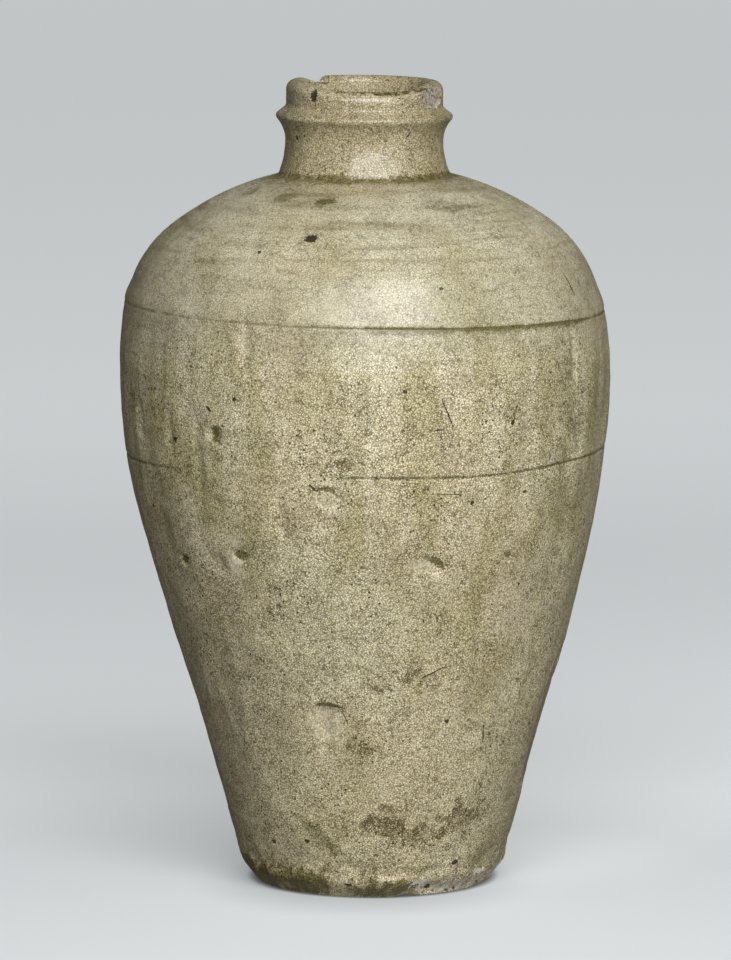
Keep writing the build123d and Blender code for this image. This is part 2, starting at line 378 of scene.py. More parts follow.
cuts = []
lip_low, lip_high = 291 * mm, 298 * mm       # the lip rises at the back and dips in front
lip_rise, lip_dip = 0.9 * mm, 2.9 * mm
dip_bearing, dip_half_width = radians(4), radians(54)
lean_left, lean_low, lean_high = 2.8 * mm, 60 * mm, 180 * mm


def lean_at(height):
    """Shift of the vase's axis along x at a height: it drifts to the left as it rises."""
    return -lean_left * eased(height, lean_low, lean_high)


mark_limit = 1.8    # share of its size beyond which no mark reaches, however ragged


def wear(piece):
    """Puts the marks on a thrown piece and leans it over with the rest of the vase."""
    mesh = piece.data
    count = len(mesh.vertices)
    place = np.empty(3 * count)
    mesh.vertices.foreach_get("co", place)
    place = place.reshape(-1, 3)
    under, pool = np.empty(count), np.empty(count)
    mesh.attributes["under"].data.foreach_get("value", under)
    mesh.attributes["pool"].data.foreach_get("value", pool)
    coats = {"pool": pool, "bare": np.zeros(count), "pale": np.zeros(count), "stain": np.zeros(count)}
    shallow = np.clip((2.5 * mm - under) / (1.5 * mm), 0, 1)     # most marks don't reach the inside
    for bearing, height, wide, tall, effects in marks:
        tilt = radians(effects.get("tilt", 0))
        side, out = turned_to(place, bearing)
        up = place[:, 2] - height
        across = (side * cos(tilt) + up * sin(tilt)) / wide
        along = (up * cos(tilt) - side * sin(tilt)) / tall
        along = np.where(along > 0, along * effects.get("steep", 1.0), along)
        reach = np.hypot(across, along)
        close = np.flatnonzero((out > 0) & (reach < mark_limit))
        if not len(close):
            continue
        ragged = effects.get("ragged", 0.25) * lumps(place[close], 1.7 / min(wide, tall))
        inner = np.clip(1 - (reach[close] * (1 + ragged)) ** 2, 0, 1)
        push = effects.get("depth", 0) * mm * inner ** effects.get("soft", 1.5)
        push *= 1 if "through" in effects else shallow[close]
        for coat in coats:
            if coat in effects:
                coats[coat][close] += effects[coat] * np.clip(1.25 * inner ** 0.6, 0, 1)
        place[close, 0] -= push * sin(bearing)
        place[close, 1] += push * cos(bearing)
    for cut in cuts:
        cut(place, under, coats)
    turn = (np.arctan2(place[:, 0], -place[:, 1]) - dip_bearing) / dip_half_width
    place[:, 2] += eased(place[:, 2], lip_low, lip_high) * (lip_rise - lip_dip * np.exp(-turn ** 4))
    place[:, 0] += lean_at(place[:, 2])
    mesh.vertices.foreach_set("co", place.ravel())
    for coat, values in coats.items():
        layer = mesh.attributes.get(coat) or mesh.attributes.new(coat, "FLOAT", "POINT")
        layer.data.foreach_set("value", np.clip(values, 0, 1))
    mesh.update()


def throw(name, outline, under, open_ended, columns, finish):
    """Finished piece spun from an outline, worn like the rest, as a plain mesh."""
    turn = np.roll(outline, -1, axis=0)
    if (outline[:, 0] * turn[:, 1] - turn[:, 0] * outline[:, 1]).sum() < 0:
        outline, under = outline[::-1], under[::-1]
    carrier = bpy.data.meshes.new(name + "_outline")
    carrier.from_pydata([(r, 0, z) for r, z in outline], [], [])
    carrier.attributes.new("under", "FLOAT", "POINT").data.foreach_set("value", under)
    piece = bpy.data.objects.new(name, carrier)
    bpy.context.scene.collection.objects.link(piece)
    modifier = piece.modifiers.new("thrown_wall", "NODES")
    modifier.node_group = thrown
    count = len(outline)
    values = dict(throwing, Points=count, Steps=count - 1 if open_ended else count, Columns=columns,
                  Finish=finish)
    for socket in thrown.interface.items_tree:
        if socket.name in values:
            modifier[socket.identifier] = values[socket.name]
    evaluated = piece.evaluated_get(bpy.context.evaluated_depsgraph_get())
    made = bpy.data.meshes.new_from_object(evaluated)
    piece.modifiers.clear()
    piece.data = made
    made.name = name
    bpy.data.meshes.remove(carrier)
    wear(piece)
    made.set_sharp_from_angle(angle=radians(50))
    return piece


def throw_solid(name, columns, step, finish):
    """Thrown piece in the place of one solid of the frame."""
    outline, open_ended = section_of(name)
    outline = divided(outline, step, open_ended)
    piece = throw(name + "_clay", outline, depth_below(outline), open_ended, columns, finish)
    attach(piece, "root")
    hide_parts(name)
    return piece


def srgb(red, green, blue):
    """Shader colour from the 0 to 255 values of a screen colour."""
    scaled = [value / 255 for value in (red, green, blue)]
    return [v / 12.92 if v <= 0.04045 else ((v + 0.055) / 1.055) ** 2.4 for v in scaled] + [1.0]


def mixed(amount, first, second, blend="MIX"):
    """Colour mixed from two colours."""
    return node(tree_of(amount, first, second), "ShaderNodeMix", {0: amount, 6: first, 7: second},
                data_type="RGBA", blend_type=blend).outputs[2]


def effect(name, *values):
    """Empty group for an effect at a place, with its given values and its end node."""
    group = bpy.data.node_groups.new(name, "ShaderNodeTree")
    group.interface.new_socket("Place", in_out="INPUT", socket_type="NodeSocketVector")
    for value in values:
        group.interface.new_socket(value, in_out="INPUT", socket_type="NodeSocketFloat")
    group.interface.new_socket("Mask", in_out="OUTPUT", socket_type="NodeSocketFloat")
    return group, node(group, "NodeGroupInput").outputs, node(group, "NodeGroupOutput").inputs


def placed(group, **inputs):
    """Mask of an effect used in a finish, with its own values."""
    return node(tree_of(*inputs.values()), "ShaderNodeGroup", inputs, node_tree=group).outputs[0]


def new_finish(name):
    """New material, with its tree, its shader and the place on the piece."""
    finish = bpy.data.materials.new(name)
    finish.use_nodes = True
    tree = finish.node_tree
    place = node(tree, "ShaderNodeTexCoord").outputs["Object"]
    return finish, tree, tree.nodes["Principled BSDF"], place


# Clouds of tone: soft patches of a size, which may be drawn out up the wall
clouds, given, end = effect("clouds", "Size", "Drawn", "Seed", "Low", "High")
squeezed = node(clouds, "ShaderNodeCombineXYZ", {0: 1.0, 1: 1.0, 2: over(1.0, given["Drawn"])})
stretched = node(clouds, "ShaderNodeVectorMath", {0: given["Place"], 1: squeezed.outputs[0]},
                 operation="MULTIPLY").outputs[0]
value = noise_of(stretched, given["Size"], given["Seed"], 3.0)
clouds.links.new(ramped(value, given["Low"], given["High"]), end["Mask"])

# Specks: scattered grains of uneven size, dark iron in the clay or pinholes in the glaze
specks, given, end = effect("specks", "Spacing", "Grain")
spacing = over(1.0, given["Spacing"])
cells = node(specks, "ShaderNodeTexVoronoi", {"Vector": given["Place"], "Scale": spacing})
chance = node(specks, "ShaderNodeSeparateColor", {0: cells.outputs["Color"]}).outputs[0]
grain = times(calc("POWER", chance, 2.0), given["Grain"])
inside = minus(grain, cells.outputs["Distance"])
specks.links.new(ramped(inside, 0.0, 0.035), end["Mask"])


def fired_clay(name, light, dark):
    """Bare stoneware that fired from a light to a dark tone, with pale grit and grains of iron."""
    finish, tree, shader, place = new_finish(name)
    patch = placed(clouds, Place=place, Size=14 * mm, Drawn=0.6, Seed=2.0, Low=0.35, High=0.65)
    dark_flecks = placed(specks, Place=place, Spacing=2.2 * mm, Grain=0.3)
    grit = noise_of(place, 0.7 * mm, 3.0)
    colour = mixed(patch, light, dark)
    colour = mixed(ramped(grit, 0.35, 0.7, 0.0, 0.45), colour, srgb(206, 197, 176))
    colour = mixed(dark_flecks, colour, srgb(62, 50, 40))
    tree.links.new(colour, shader.inputs["Base Color"])
    tree.links.new(ramped(grit, 0.3, 0.7, 0.78, 0.95), shader.inputs["Roughness"])
    bump = node(tree, "ShaderNodeBump", {"Height": grit, "Strength": 0.5, "Distance": 0.3 * mm})
    tree.links.new(bump.outputs[0], shader.inputs["Normal"])
    return finish


clay = fired_clay("bare_stoneware", srgb(216, 206, 178), srgb(178, 165, 124))


def reach_at(height):
    """Radius of the glazed surface at a height."""
    starts, ends = coat_section, np.roll(coat_section, -1, axis=0)
    crossing = (starts[:, 1] - height) * (ends[:, 1] - height) <= 0
    starts, runs = starts[crossing], (ends - starts)[crossing]
    share = (height - starts[:, 1]) / (runs[:, 1] + tiny)
    return (starts[:, 0] + share * runs[:, 0]).max()


wall_foot, wall_above = 27 * mm, 45 * mm     # straight stretch of the wall just above the foot
wall_slope = (reach_at(wall_above) - reach_at(wall_foot)) / (wall_above - wall_foot)


def hump(value, middle, spread):
    """Hump of 1 at a middle."""
    return np.exp(-((value - middle) / spread) ** 2)


def bearing_of(place):
    """Bearings of points, in degrees from the front."""
    return np.degrees(np.arctan2(place[:, 0], -place[:, 1]))


def settle(place, under, coats):
    """Lumps of glaze and clay that fill the step above the foot and roll over its bevel."""
    low = np.flatnonzero((place[:, 2] < wall_foot) & (under < 3 * mm))
    radius, bearing, z = np.hypot(*place[low, :2].T), bearing_of(place[low]), place[low, 2]
    # The step is filled out to the line of the wall, less so on the right
    line = reach_at(wall_foot) + (z - wall_foot) * wall_slope - under[low]
    open_side = 1 - 0.25 * hump(bearing, 85, 24)
    grown = np.maximum(line - radius, 0) * eased(z, 2 * mm, 9 * mm) * open_side
    # Two swellings in front, and lumps all round
    grown += 1.9 * mm * hump(bearing, 8, 13) * hump(z, 4.6 * mm, 3.4 * mm)
    grown += 1.2 * mm * hump(bearing, -42, 26) * hump(z, 6 * mm, 3.4 * mm)
    lumpy = lumps(place[low], 120) + 0.45 * lumps(place[low], 330)
    grown += 1.1 * mm * lumpy * eased(z, 0.4 * mm, 4 * mm) * eased(z, 22 * mm, 10 * mm)
    grown *= np.clip((3 * mm - under[low]) / (1.5 * mm), 0, 1)
    # Glaze that ran down over the bevel and stopped short of the table
    drip = (1.45 + 0.5 * lumpy) * mm * eased(z, 5.5 * mm, 1.9 * mm) * (under[low] < 0.45 * mm)
    drip = np.clip(drip, 0, np.maximum(z - 0.1 * mm, 0))
    grown -= 0.7 * drip
    place[low, 0] *= 1 + grown / radius
    place[low, 1] *= 1 + grown / radius
    place[low, 2] -= drip
    # A notch in the edge of the foot
    notch = 1.8 * mm * hump(bearing_of(place), 16.5, 4.5)
    notch *= eased(np.hypot(*place[:, :2].T), 40 * mm, 47 * mm)
    place[:, 2] += notch * eased(place[:, 2], 8 * mm, 0.0)


cuts.append(settle)

# Chips along the front right of the bevel, where the foot was knocked on its edge, and a hole in one
for chip, wide, tall in ((24, 4, 3), (33, 5, 1.6), (43, 5, 2.2), (54, 6, 3.4), (66, 5, 2.6), (78, 6, 3)):
    mark(chip, 1.6 + tall, wide, tall, depth=0.9, bare=1.0, ragged=0.9, through=True)
# The hole in a chip; the dark inside it is painted shade, one of the dark flecks of the glaze.
mark(26.6, 4.0, 1.9, 1.5, depth=3.0, soft=0.5, ragged=0.4, through=True)
base = throw_solid("base_slab", 480, 0.9 * mm, clay)


# Lower wall and belly: two cylinders thrown of the same stoneware and set on one another. Thumbs and tools
# left hollows in them while they were soft. A long flat was scraped off the right of the lower one.
# Pale on the hollows and thumb marks is painted light on their lit sides; the pale patches low on the foot
# are paler glaze.
mark(-37, 177.6, 3.0, 5.0, depth=1.7, soft=0.8, steep=1.6, pool=0.45, tilt=18, ragged=0.5)
mark(-9, 157.6, 5.6, 6.5, depth=1.5, soft=0.8, steep=3.0, pale=0.4, ragged=0.15)
mark(-33.5, 133, 4.4, 3.4, depth=1.5, soft=0.8, steep=1.8, pool=0.6, ragged=0.35)
mark(-55, 128, 3.4, 3.0, depth=1.4, soft=0.8, steep=1.8, pool=0.6, ragged=0.35)
mark(17, 130.6, 5.6, 4.4, depth=1.3, soft=0.8, steep=2.2, pool=0.3, tilt=-20, ragged=0.35)
mark(14, 130, 10, 8, depth=0.5, pale=0.15, ragged=0.5)
mark(38, 132, 2.8, 2.4, depth=1.0, soft=0.9, steep=1.6, pool=0.5)
mark(-13, 74.2, 7.5, 13.0, depth=1.2, soft=1.0, steep=5.0, pale=0.25, ragged=0.35)
mark(1, 73.0, 8.0, 2.4, depth=0.7, steep=2.0, ragged=0.5)
mark(-20, 24, 15, 4.5, depth=-0.9, tilt=-42, pool=0.25, ragged=0.4)
mark(-31, 18, 15, 6.0, depth=0.9, tilt=-38, pale=0.4, ragged=0.4)
mark(-12.5, 5, 8, 3.6, pale=0.9, ragged=0.7)
mark(-50, 17, 11, 8.0, depth=0.4, pale=0.35, ragged=0.6)
mark(43, 115, 15, 26, pale=0.75, ragged=0.6)
mark(-52, 190, 10, 16, pale=0.35, ragged=0.6)
# Thumb marks: shallow hollows, with painted light on their lit sides
for thumb in ((-42.6, 167, 3.5, 16), (-21, 150, 3.2, 13), (40.7, 174.6, 4.5, 12), (57, 204, 3, 16),
              (-65, 179, 4, 12), (-52, 177, 3, 12), (-16, 66, 4, 12), (-42, 128.5, 5, 6),
              (-28.5, 209, 4.5, 12), (61, 174, 4, 9)):
    mark(*thumb, depth=0.9, pale=0.35, ragged=0.5)
mark(-21, 23, 15, 4.0, depth=0.75, tilt=-42, pool=0.2)
mark(-30, 19, 9, 6.0, depth=-0.7, tilt=-42)
mark(124, 120, 7, 3.5, depth=1.0, pool=0.7, tilt=15, ragged=0.4)
mark(163, 88, 9, 6, depth=1.1, pale=0.4, ragged=0.4)
mark(203, 150, 4, 3, depth=1.0, pool=0.8, ragged=0.5)
mark(246, 60, 8, 4, depth=0.9, pool=0.5, tilt=-25, ragged=0.4)
mark(262, 184, 3, 3.6, depth=0.9, pool=0.8, ragged=0.5)


def scrape(place, under, coats):
    """Long flat scraped off the right side of the lower wall."""
    cut = clip_flat(place, under, radians(83), 62 * mm, 60.8 * mm, radians(15.4),
                    wide=16 * mm, tall=32 * mm, border=9 * mm)
    worn = np.flatnonzero((cut > 0) & (under < 0.3 * mm))
    streaks = lumps(place[worn] * (190, 190, 48), 1)
    coats["bare"][worn] += np.clip(cut[worn] / (1.1 * mm) + 1.1 * streaks, 0, 1)


cuts.append(scrape)
for name in ("lower_wall", "belly_wall"):
    wall = throw_solid(name, 240, 3.0 * mm, clay)


# Shoulder and neck: the shoulder is a thrown dome and the neck a small thrown cylinder with a ridge and a
# rolled lip, both of stoneware. The lip has lost a flake and a bite, and a bubble burst in its side.

def flake(place, under, coats):
    """Flake off the side of the lip."""
    cut = clip_flat(place, under, radians(62), 296 * mm, 27.5 * mm, 0.0,
                    wide=9.5 * mm, tall=4.6 * mm, border=0.5 * mm)
    coats["bare"] += np.clip(cut / (0.2 * mm), 0, 1) * (under < 0.3 * mm)


def bite(place, under, coats):
    """Bite out of the far side of the rim, steep at one end and running out at the other."""
    side, out = turned_to(place, radians(223))
    share = np.minimum((side + 3.6 * mm) / (0.7 * mm), (16 * mm - side) / (17 * mm)) * (out > 0)
    floor = 300.5 * mm - 3.0 * mm * eased(share, 0, 1) - under
    cut = np.where(share > 0, np.maximum(place[:, 2] - floor, 0), 0)
    place[:, 2] -= cut
    coats["bare"] += np.clip(cut / (0.6 * mm), 0, 0.45)


def worn_crest(place, under, coats):
    """Glaze rubbed dark along the crest of the lip, and the neck set on a little askew."""
    crest = eased(place[:, 2], 298.7 * mm, 299.4 * mm) * (under < 0.5 * mm)
    crest *= np.exp(-((bearing_of(place) - 20) / 38) ** 4)
    top = np.flatnonzero(crest)
    rubbed = crest[top] * np.clip(0.5 + 1.4 * lumps(place[top], 420), 0, 1)
    coats["stain"][top] += rubbed
    coats["pool"][top] += 1.5 * rubbed
    place[:, 2] += eased(place[:, 2], 264 * mm, 280 * mm) * (0.7 * mm - 0.012 * place[:, 0])


cuts += [flake, bite, worn_crest]
# Pit where the bubble burst; the dark inside it is painted shade, one of the dark flecks of the glaze.
mark(318.8, 296.4, 1.6, 2.2, depth=0.6, soft=0.7, ragged=0.2)
for name in ("shoulder", "neck"):
    wall = throw_solid(name, 240, 2.0 * mm, clay)


# Luting rings: thin films of wet clay brushed between the sections to join them. They fired to stoneware
# with the wall, and they end flush with it under the glaze.
slip = fired_clay("fired_slip", srgb(168, 150, 128), srgb(140, 120, 98))
for name in ("base_luting", "lower_luting", "upper_luting", "neck_luting"):
    ring = throw_solid(name, 240, 2.0 * mm, slip)


# Outer glaze: an ash glaze, poured and brushed over the whole outside and the lip and fired to a greenish
# buff. It runs thin on edges, pools olive in every hollow, and is crazed all over with fine dark lines.

def smooth_path(points, step):
    """Even fine points along a smooth curve through outline points. Straights stay straight."""
    # A run much longer than those beside it is a straight, and is split so that it can't bulge
    runs = np.linalg.norm(np.diff(points, axis=0), axis=1)
    beside = np.maximum(np.r_[0, runs[:-1]], np.r_[runs[1:], 0])
    pieces = [divided(np.array([a, b]), run / 4 if run > 2.5 * near else run + 1, True)[:-1]
              for a, b, run, near in zip(points, points[1:], runs, beside)]
    points = np.vstack([*pieces, points[-1:]])
    runs = np.linalg.norm(np.diff(points, axis=0), axis=1)
    slope = np.diff(points, axis=0) / runs[:, None]
    slope = np.vstack([slope[:1], slope[:1], slope, slope[-1:], slope[-1:]])
    change = np.linalg.norm(np.diff(slope, axis=0), axis=1) + 1e-9
    before, after = change[:-2, None], change[2:, None]
    tangent = (after * slope[1:-2] + before * slope[2:-1]) / (before + after)
    path = []
    for k, run in enumerate(runs):
        t = np.linspace(0, 1, max(2, int(np.ceil(run / step))), endpoint=False)[:, None]
        path.append((1 + 2 * t) * (1 - t) ** 2 * points[k] + t * (1 - t) ** 2 * run * tangent[k]
                    + t * t * (3 - 2 * t) * points[k + 1] + t * t * (t - 1) * run * tangent[k + 1])
    return np.vstack([*path, points[-1:]])


mouth_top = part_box("mouth_glaze")[1].z
first = int(coat_section[:, 1].argmin())
ahead = np.roll(coat_section, -first, axis=0)
if np.linalg.norm(ahead[1] - ahead[0]) < np.linalg.norm(ahead[-1] - ahead[0]):
    ahead = np.roll(ahead[::-1], 1, axis=0)
top = int(ahead[:, 1].argmax())
last = top + int(np.flatnonzero(ahead[top:, 1] <= mouth_top + 0.01 * mm)[0])
surface = ahead[:last + 1]
clear = np.all([abs(surface[:, 1] - height) > 0.6 * mm for height in line_heights], axis=0)
surface = smooth_path(surface[clear], 0.1 * mm)
along = np.r_[0, np.cumsum(np.linalg.norm(np.diff(surface, axis=0), axis=1))]
facing = np.gradient(surface, along, axis=0)
facing = np.column_stack([facing[:, 1], -facing[:, 0]]) / np.linalg.norm(facing, axis=1)[:, None]
closeness = sum(hump(surface[:, 1], height, 3 * mm) for height in line_heights)
row_weight = np.r_[0, np.cumsum(np.diff(along) * (1 + 1.8 * closeness[1:]))]
inner_rows = 14


def band_outline(low, high, rows):
    """Outline of a band of the coat between two places along the surface, its outer rows first."""
    weights = np.linspace(np.interp(low, along, row_weight), np.interp(high, along, row_weight), rows)
    outer_at = np.interp(weights, row_weight, along)
    inner_at = np.linspace(high, low, inner_rows)
    outer = np.column_stack([np.interp(outer_at, along, axis) for axis in surface.T])
    inner = np.column_stack([np.interp(inner_at, along, axis - glaze_thickness * face)
                             for axis, face in zip(surface.T, facing.T)])
    under = np.r_[np.zeros(rows), np.full(inner_rows, glaze_thickness)]
    return np.vstack([outer, inner]), under


# Where the glaze pooled or took up stains: at the root of the neck, on the foot, below the upper line on
# the right, and in patches
root_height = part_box("neck_luting")[1].z + 0.9 * mm


def drift_at(bearing, spacing, seed):
    """Slow change from -1 to 1 round the vase."""
    return noise.noise(Vector((bearing / spacing, seed, 0)))


for bearing in range(0, 360, 9):
    drift = drift_at(bearing, 31, 2.5)
    mark(bearing, root_height / mm + 0.6 * drift, 4, 1.6 + 0.6 * drift, pool=0.5 + 0.35 * drift, ragged=0.6)
for bearing in (*range(-66, -20, 6), *range(-4, 20, 6)):
    drift = drift_at(bearing, 23, 8.5)
    mark(bearing, 5.5 + 2 * drift, 5, 5 + 2.5 * drift, pool=0.68 + 0.45 * drift, ragged=0.8)
for bearing in range(100, 290, 11):
    drift = drift_at(bearing, 23, 3.5)
    mark(bearing, 5.5 + 2 * drift, 7, 5 + 2.5 * drift, pool=0.45 + 0.5 * drift, ragged=0.6)
for *patch, strength in (
        (-2, 203, 5, 20, 0.32), (4.6, 184, 4, 12, 0.35), (17, 182, 5, 6, 0.5), (36.8, 185, 6, 4.5, 0.5),
        (52, 200, 5, 16, 0.35), (-48, 166, 8, 9, 0.35), (-23, 120, 6, 5, 0.4), (-29.7, 108.6, 6, 5, 0.4),
        (-41.8, 59, 9, 7, 0.4), (-2.4, 58, 5, 4, 0.6), (-7.3, 62.7, 5, 3.5, 0.45), (13.1, 87.8, 6, 4, 0.8),
        (2, 83, 7, 3, 0.6), (-14.5, 78, 9, 2.2, 0.45), (-3.8, 113, 4, 6, 0.4), (34.5, 105.3, 5, 4, 0.4),
        (-44, 107, 7, 8, 0.35), (150, 190, 8, 16, 0.4), (190, 120, 12, 9, 0.4), (225, 80, 9, 8, 0.45),
        (250, 160, 6, 12, 0.4), (130, 55, 10, 7, 0.45), (57, 180, 5, 7, 0.5), (-69, 185, 4, 8, 0.5)):
    mark(*patch, stain=strength, ragged=0.8)
for *streak, strength in ((45, 256.5, 14, 2.6, 0.5), (31, 258.7, 12, 2.4, 0.5), (11.6, 253, 10, 2, 0.35),
                          (-16, 248.4, 4.5, 3.2, 0.55), (-19, 162, 4.5, 3, 0.4)):
    mark(*streak, stain=strength, ragged=0.7)
mark(36.7, 30, 10, 8, stain=0.75, tilt=20, ragged=0.9)
mark(5.7, 30.4, 9, 6.5, stain=0.75, ragged=0.9)
mark(17.5, 25, 12, 5, stain=0.6, ragged=0.9)
mark(-5.4, 168.3, 7, 3.4, stain=0.7, tilt=-10, ragged=0.9)
mark(57, 194, 10, 22, pool=0.22, ragged=0.8)
mark(-16.5, 260, 5, 1.8, pool=0.6, tilt=8, ragged=0.7)
mark(-37, 261, 5, 1.6, pool=0.6, ragged=0.7)
mark(-64, 261.5, 5, 1.6, pool=0.5, ragged=0.7)
mark(-43, 239, 13, 1.2, pool=0.35, ragged=0.8)
mark(-39, 234.5, 11, 1.0, pool=0.3, ragged=0.8)
for bearing in range(2, 64, 4):
    drift = drift_at(bearing, 17, 5.5)
    level = line_heights[1] + throwing["Upper Tilt"] * sin(radians(bearing)) - 0.5 * mm
    mark(bearing, level / mm, 4.5, 1.7 + 0.8 * drift, pool=0.4 + 0.2 * drift, ragged=0.5)

# Crazing: a net of fine bent cracks in the glaze
crazing, given, end = effect("crazing", "Cell", "Crack", "Bend")
scaled = node(crazing, "ShaderNodeVectorMath", {
    0: given["Place"], "Scale": over(1.0, given["Cell"])}, operation="SCALE").outputs[0]
bend = node(crazing, "ShaderNodeTexNoise", {"Vector": scaled, "Scale": 0.9, "Detail": 1.0})
bent = node(crazing, "ShaderNodeVectorMath", {0: bend.outputs["Color"], "Scale": given["Bend"]},
            operation="SCALE").outputs[0]
bent = node(crazing, "ShaderNodeVectorMath", {0: scaled, 1: bent}, operation="ADD").outputs[0]
net = node(crazing, "ShaderNodeTexVoronoi", {"Vector": bent, "Scale": 1.0}, feature="DISTANCE_TO_EDGE")
crazing.links.new(ramped(net.outputs[0], 0.0, given["Crack"], 1.0, 0.0), end["Mask"])

# Marks too fine for the mesh at a bearing and a height: spots of iron, dashes and scratches, and small
# patches of painted light and shade
fleck, given, end = effect("fleck", "Ragged", "Bearing", "Height", "Lean", "Long", "Wide", "Tilt", "Bow",
                           "Edge")
x, y, z = node(fleck, "ShaderNodeSeparateXYZ", {0: given["Place"]}).outputs
x = minus(x, given["Lean"])
turn_cosine = calc("COSINE", given["Bearing"])
turn_sine = calc("SINE", given["Bearing"])
side = plus(times(x, turn_cosine), times(y, turn_sine))
front = minus(times(x, turn_sine), times(y, turn_cosine))
up = minus(z, given["Height"])
tilt_cosine = calc("COSINE", given["Tilt"])
tilt_sine = calc("SINE", given["Tilt"])
length = plus(times(side, tilt_cosine), times(up, tilt_sine))
width = minus(times(up, tilt_cosine), times(side, tilt_sine))
width = plus(width, times(times(length, length), given["Bow"]))
length = calc("POWER", over(length, given["Long"]), 2.0)
width = calc("POWER", over(width, given["Wide"]), 2.0)
reach = plus(plus(length, width), given["Ragged"])
mask = ramped(reach, minus(1.0, given["Edge"]), plus(1.0, given["Edge"]), 1.0, 0.0)
mask = times(mask, calc("GREATER_THAN", front, 0.0))
fleck.links.new(mask, end["Mask"])

glaze, tree, shader, place = new_finish("crazed_ash_glaze")
height = node(tree, "ShaderNodeSeparateXYZ", {0: place}).outputs[2]
coat = {name: node(tree, "ShaderNodeAttribute", attribute_name=name).outputs["Fac"]
        for name in ("pool", "bare", "pale", "stain")}


def by_height(low, high, start, end):
    """Value that eases from start to end between two heights in millimetres."""
    return ramped(height, low * mm, high * mm, start, end)


def cloud(size, drawn, seed, low, high):
    """Clouds of a size in millimetres."""
    return placed(clouds, Place=place, Size=size * mm, Drawn=drawn, Seed=seed, Low=low, High=high)


def tinted(colour, mask, strength, tone):
    """Colour with a tone laid over it where a mask says."""
    return mixed(times(mask, strength), colour, srgb(*tone))


warm = cloud(48, 1.3, 1.0, 0.38, 0.62)
olive = cloud(26, 1.6, 6.0, 0.48, 0.7)
smoke = cloud(20, 1.2, 12.0, 0.47, 0.7)
runs = cloud(11, 7.0, 3.0, 0.45, 0.66)
wiped = cloud(40, 0.06, 4.0, 0.42, 0.72)
mottle = cloud(9, 0.9, 8.0, 0.35, 0.68)
dirt = cloud(19, 1.0, 15.0, 0.42, 0.62)
fine = noise_of(place, 0.58 * mm, 2.0, 0.0)
coarse = noise_of(place, 3.4 * mm, 7.0, 2.0)
crooked = calc("ABSOLUTE", minus(noise_of(place, 1.7 * mm, 9.0, 0.0), 0.5))
crooked = ramped(crooked, 0.0, 0.055, 1.0, 0.0)
broken = ramped(noise_of(place, 1.7 * mm, 4.0, 0.0), 0.5, 0.66)
pins = placed(specks, Place=place, Spacing=9 * mm, Grain=0.085)
dots = placed(specks, Place=place, Spacing=1.25 * mm, Grain=0.4)

# Ground tone: cream to buff, greener and smokier in clouds, with runs on the belly, brush strokes round the
# shoulder and the foot, and a browner neck. The colour is darker above the upper line.
colour = mixed(warm, srgb(236, 229, 203), srgb(230, 221, 191))
colour = tinted(colour, olive, 0.4, (176, 170, 114))
colour = tinted(colour, smoke, 0.26, (164, 149, 120))
run_zone = times(by_height(70, 150, 0.0, 1.0), by_height(200, 216, 1.0, 0.0))
colour = tinted(colour, times(runs, run_zone), 0.55, (178, 172, 122))
wipe_zone = times(by_height(222, 250, 0.0, 0.6), by_height(262, 270, 1.0, 0.35))
wipe_zone = plus(wipe_zone, by_height(12, 24, 0.35, 0.0))
colour = tinted(colour, wiped, wipe_zone, (140, 127, 88))
colour = tinted(colour, mottle, 0.1, (166, 154, 124))
colour = mixed(by_height(260, 268, 0.0, 0.42), colour, srgb(186, 172, 136))
darker_above_line = plus(by_height(200, 216, 1.0, 0.77), by_height(226, 250, 0.0, 0.08))
colour = mixed(1.0, colour, darker_above_line, "MULTIPLY")

# Worn, stained and pooled places, as noted on the mesh, with loose edges. The pale places are partly paler
# glaze and partly painted light on the lit sides of hollows and thumb marks.
loose = times(minus(coarse, 0.5), 0.9)
pale = ramped(plus(coat["pale"], loose), 0.15, 0.8, 0.0, 0.55)
colour = mixed(pale, colour, srgb(224, 213, 192))
crumbs = times(minus(noise_of(place, 1.4 * mm, 6.0), 0.5), 1.1)
stain = plus(coat["stain"], plus(loose, crumbs))
stain = times(ramped(stain, 0.1, 1.3), ramped(coat["stain"], 0.0, 0.55))
colour = tinted(colour, stain, 0.32, (124, 109, 72))
pool = ramped(plus(coat["pool"], loose), 0.05, 1.0, 0.0, 0.85)
colour = mixed(pool, colour, srgb(102, 97, 50))

# Flecks as bearing, height, half length, half width, tilt and bow, in degrees and millimetres, the bow per
# metre: painted light beside the hollows, where their sides face the light, glaze caught in them, then iron,
# scratches and painted shade inside two holes
painted_light_by_hollows = [
    (-9.4, 154.8, 5.0, 3.4, -6, 0), (-10.5, 162.6, 4.0, 1.2, -10, 0), (-14, 68.0, 7.5, 6.0, -40, 0),
    (-36.6, 130, 2.6, 3.6, 20, 0), (-39, 176.6, 1.6, 3.0, 0, 0), (14.4, 129.4, 5.0, 2.8, -25, 0),
    (-34.6, 136.8, 4.0, 2.0, 0, 0),
]
caught = [
    (-9, 159.2, 3.9, 0.95, -12, 105), (-37, 177.4, 3.2, 1.2, 78, 0), (-33.5, 132.7, 3.2, 1.8, -6, 0),
    (-55, 128, 2.2, 1.4, 20, 0), (17.5, 131.6, 3.6, 1.5, -28, 60), (38, 132, 1.6, 1.0, 30, 0),
    (-13.4, 76.4, 5.4, 0.8, -4, 30), (-8.8, 72.0, 3.4, 0.35, -62, 40), (-16.5, 260.3, 4.0, 0.8, 3, 0),
    (19.5, 156.7, 6.2, 0.3, -4, 0),
]
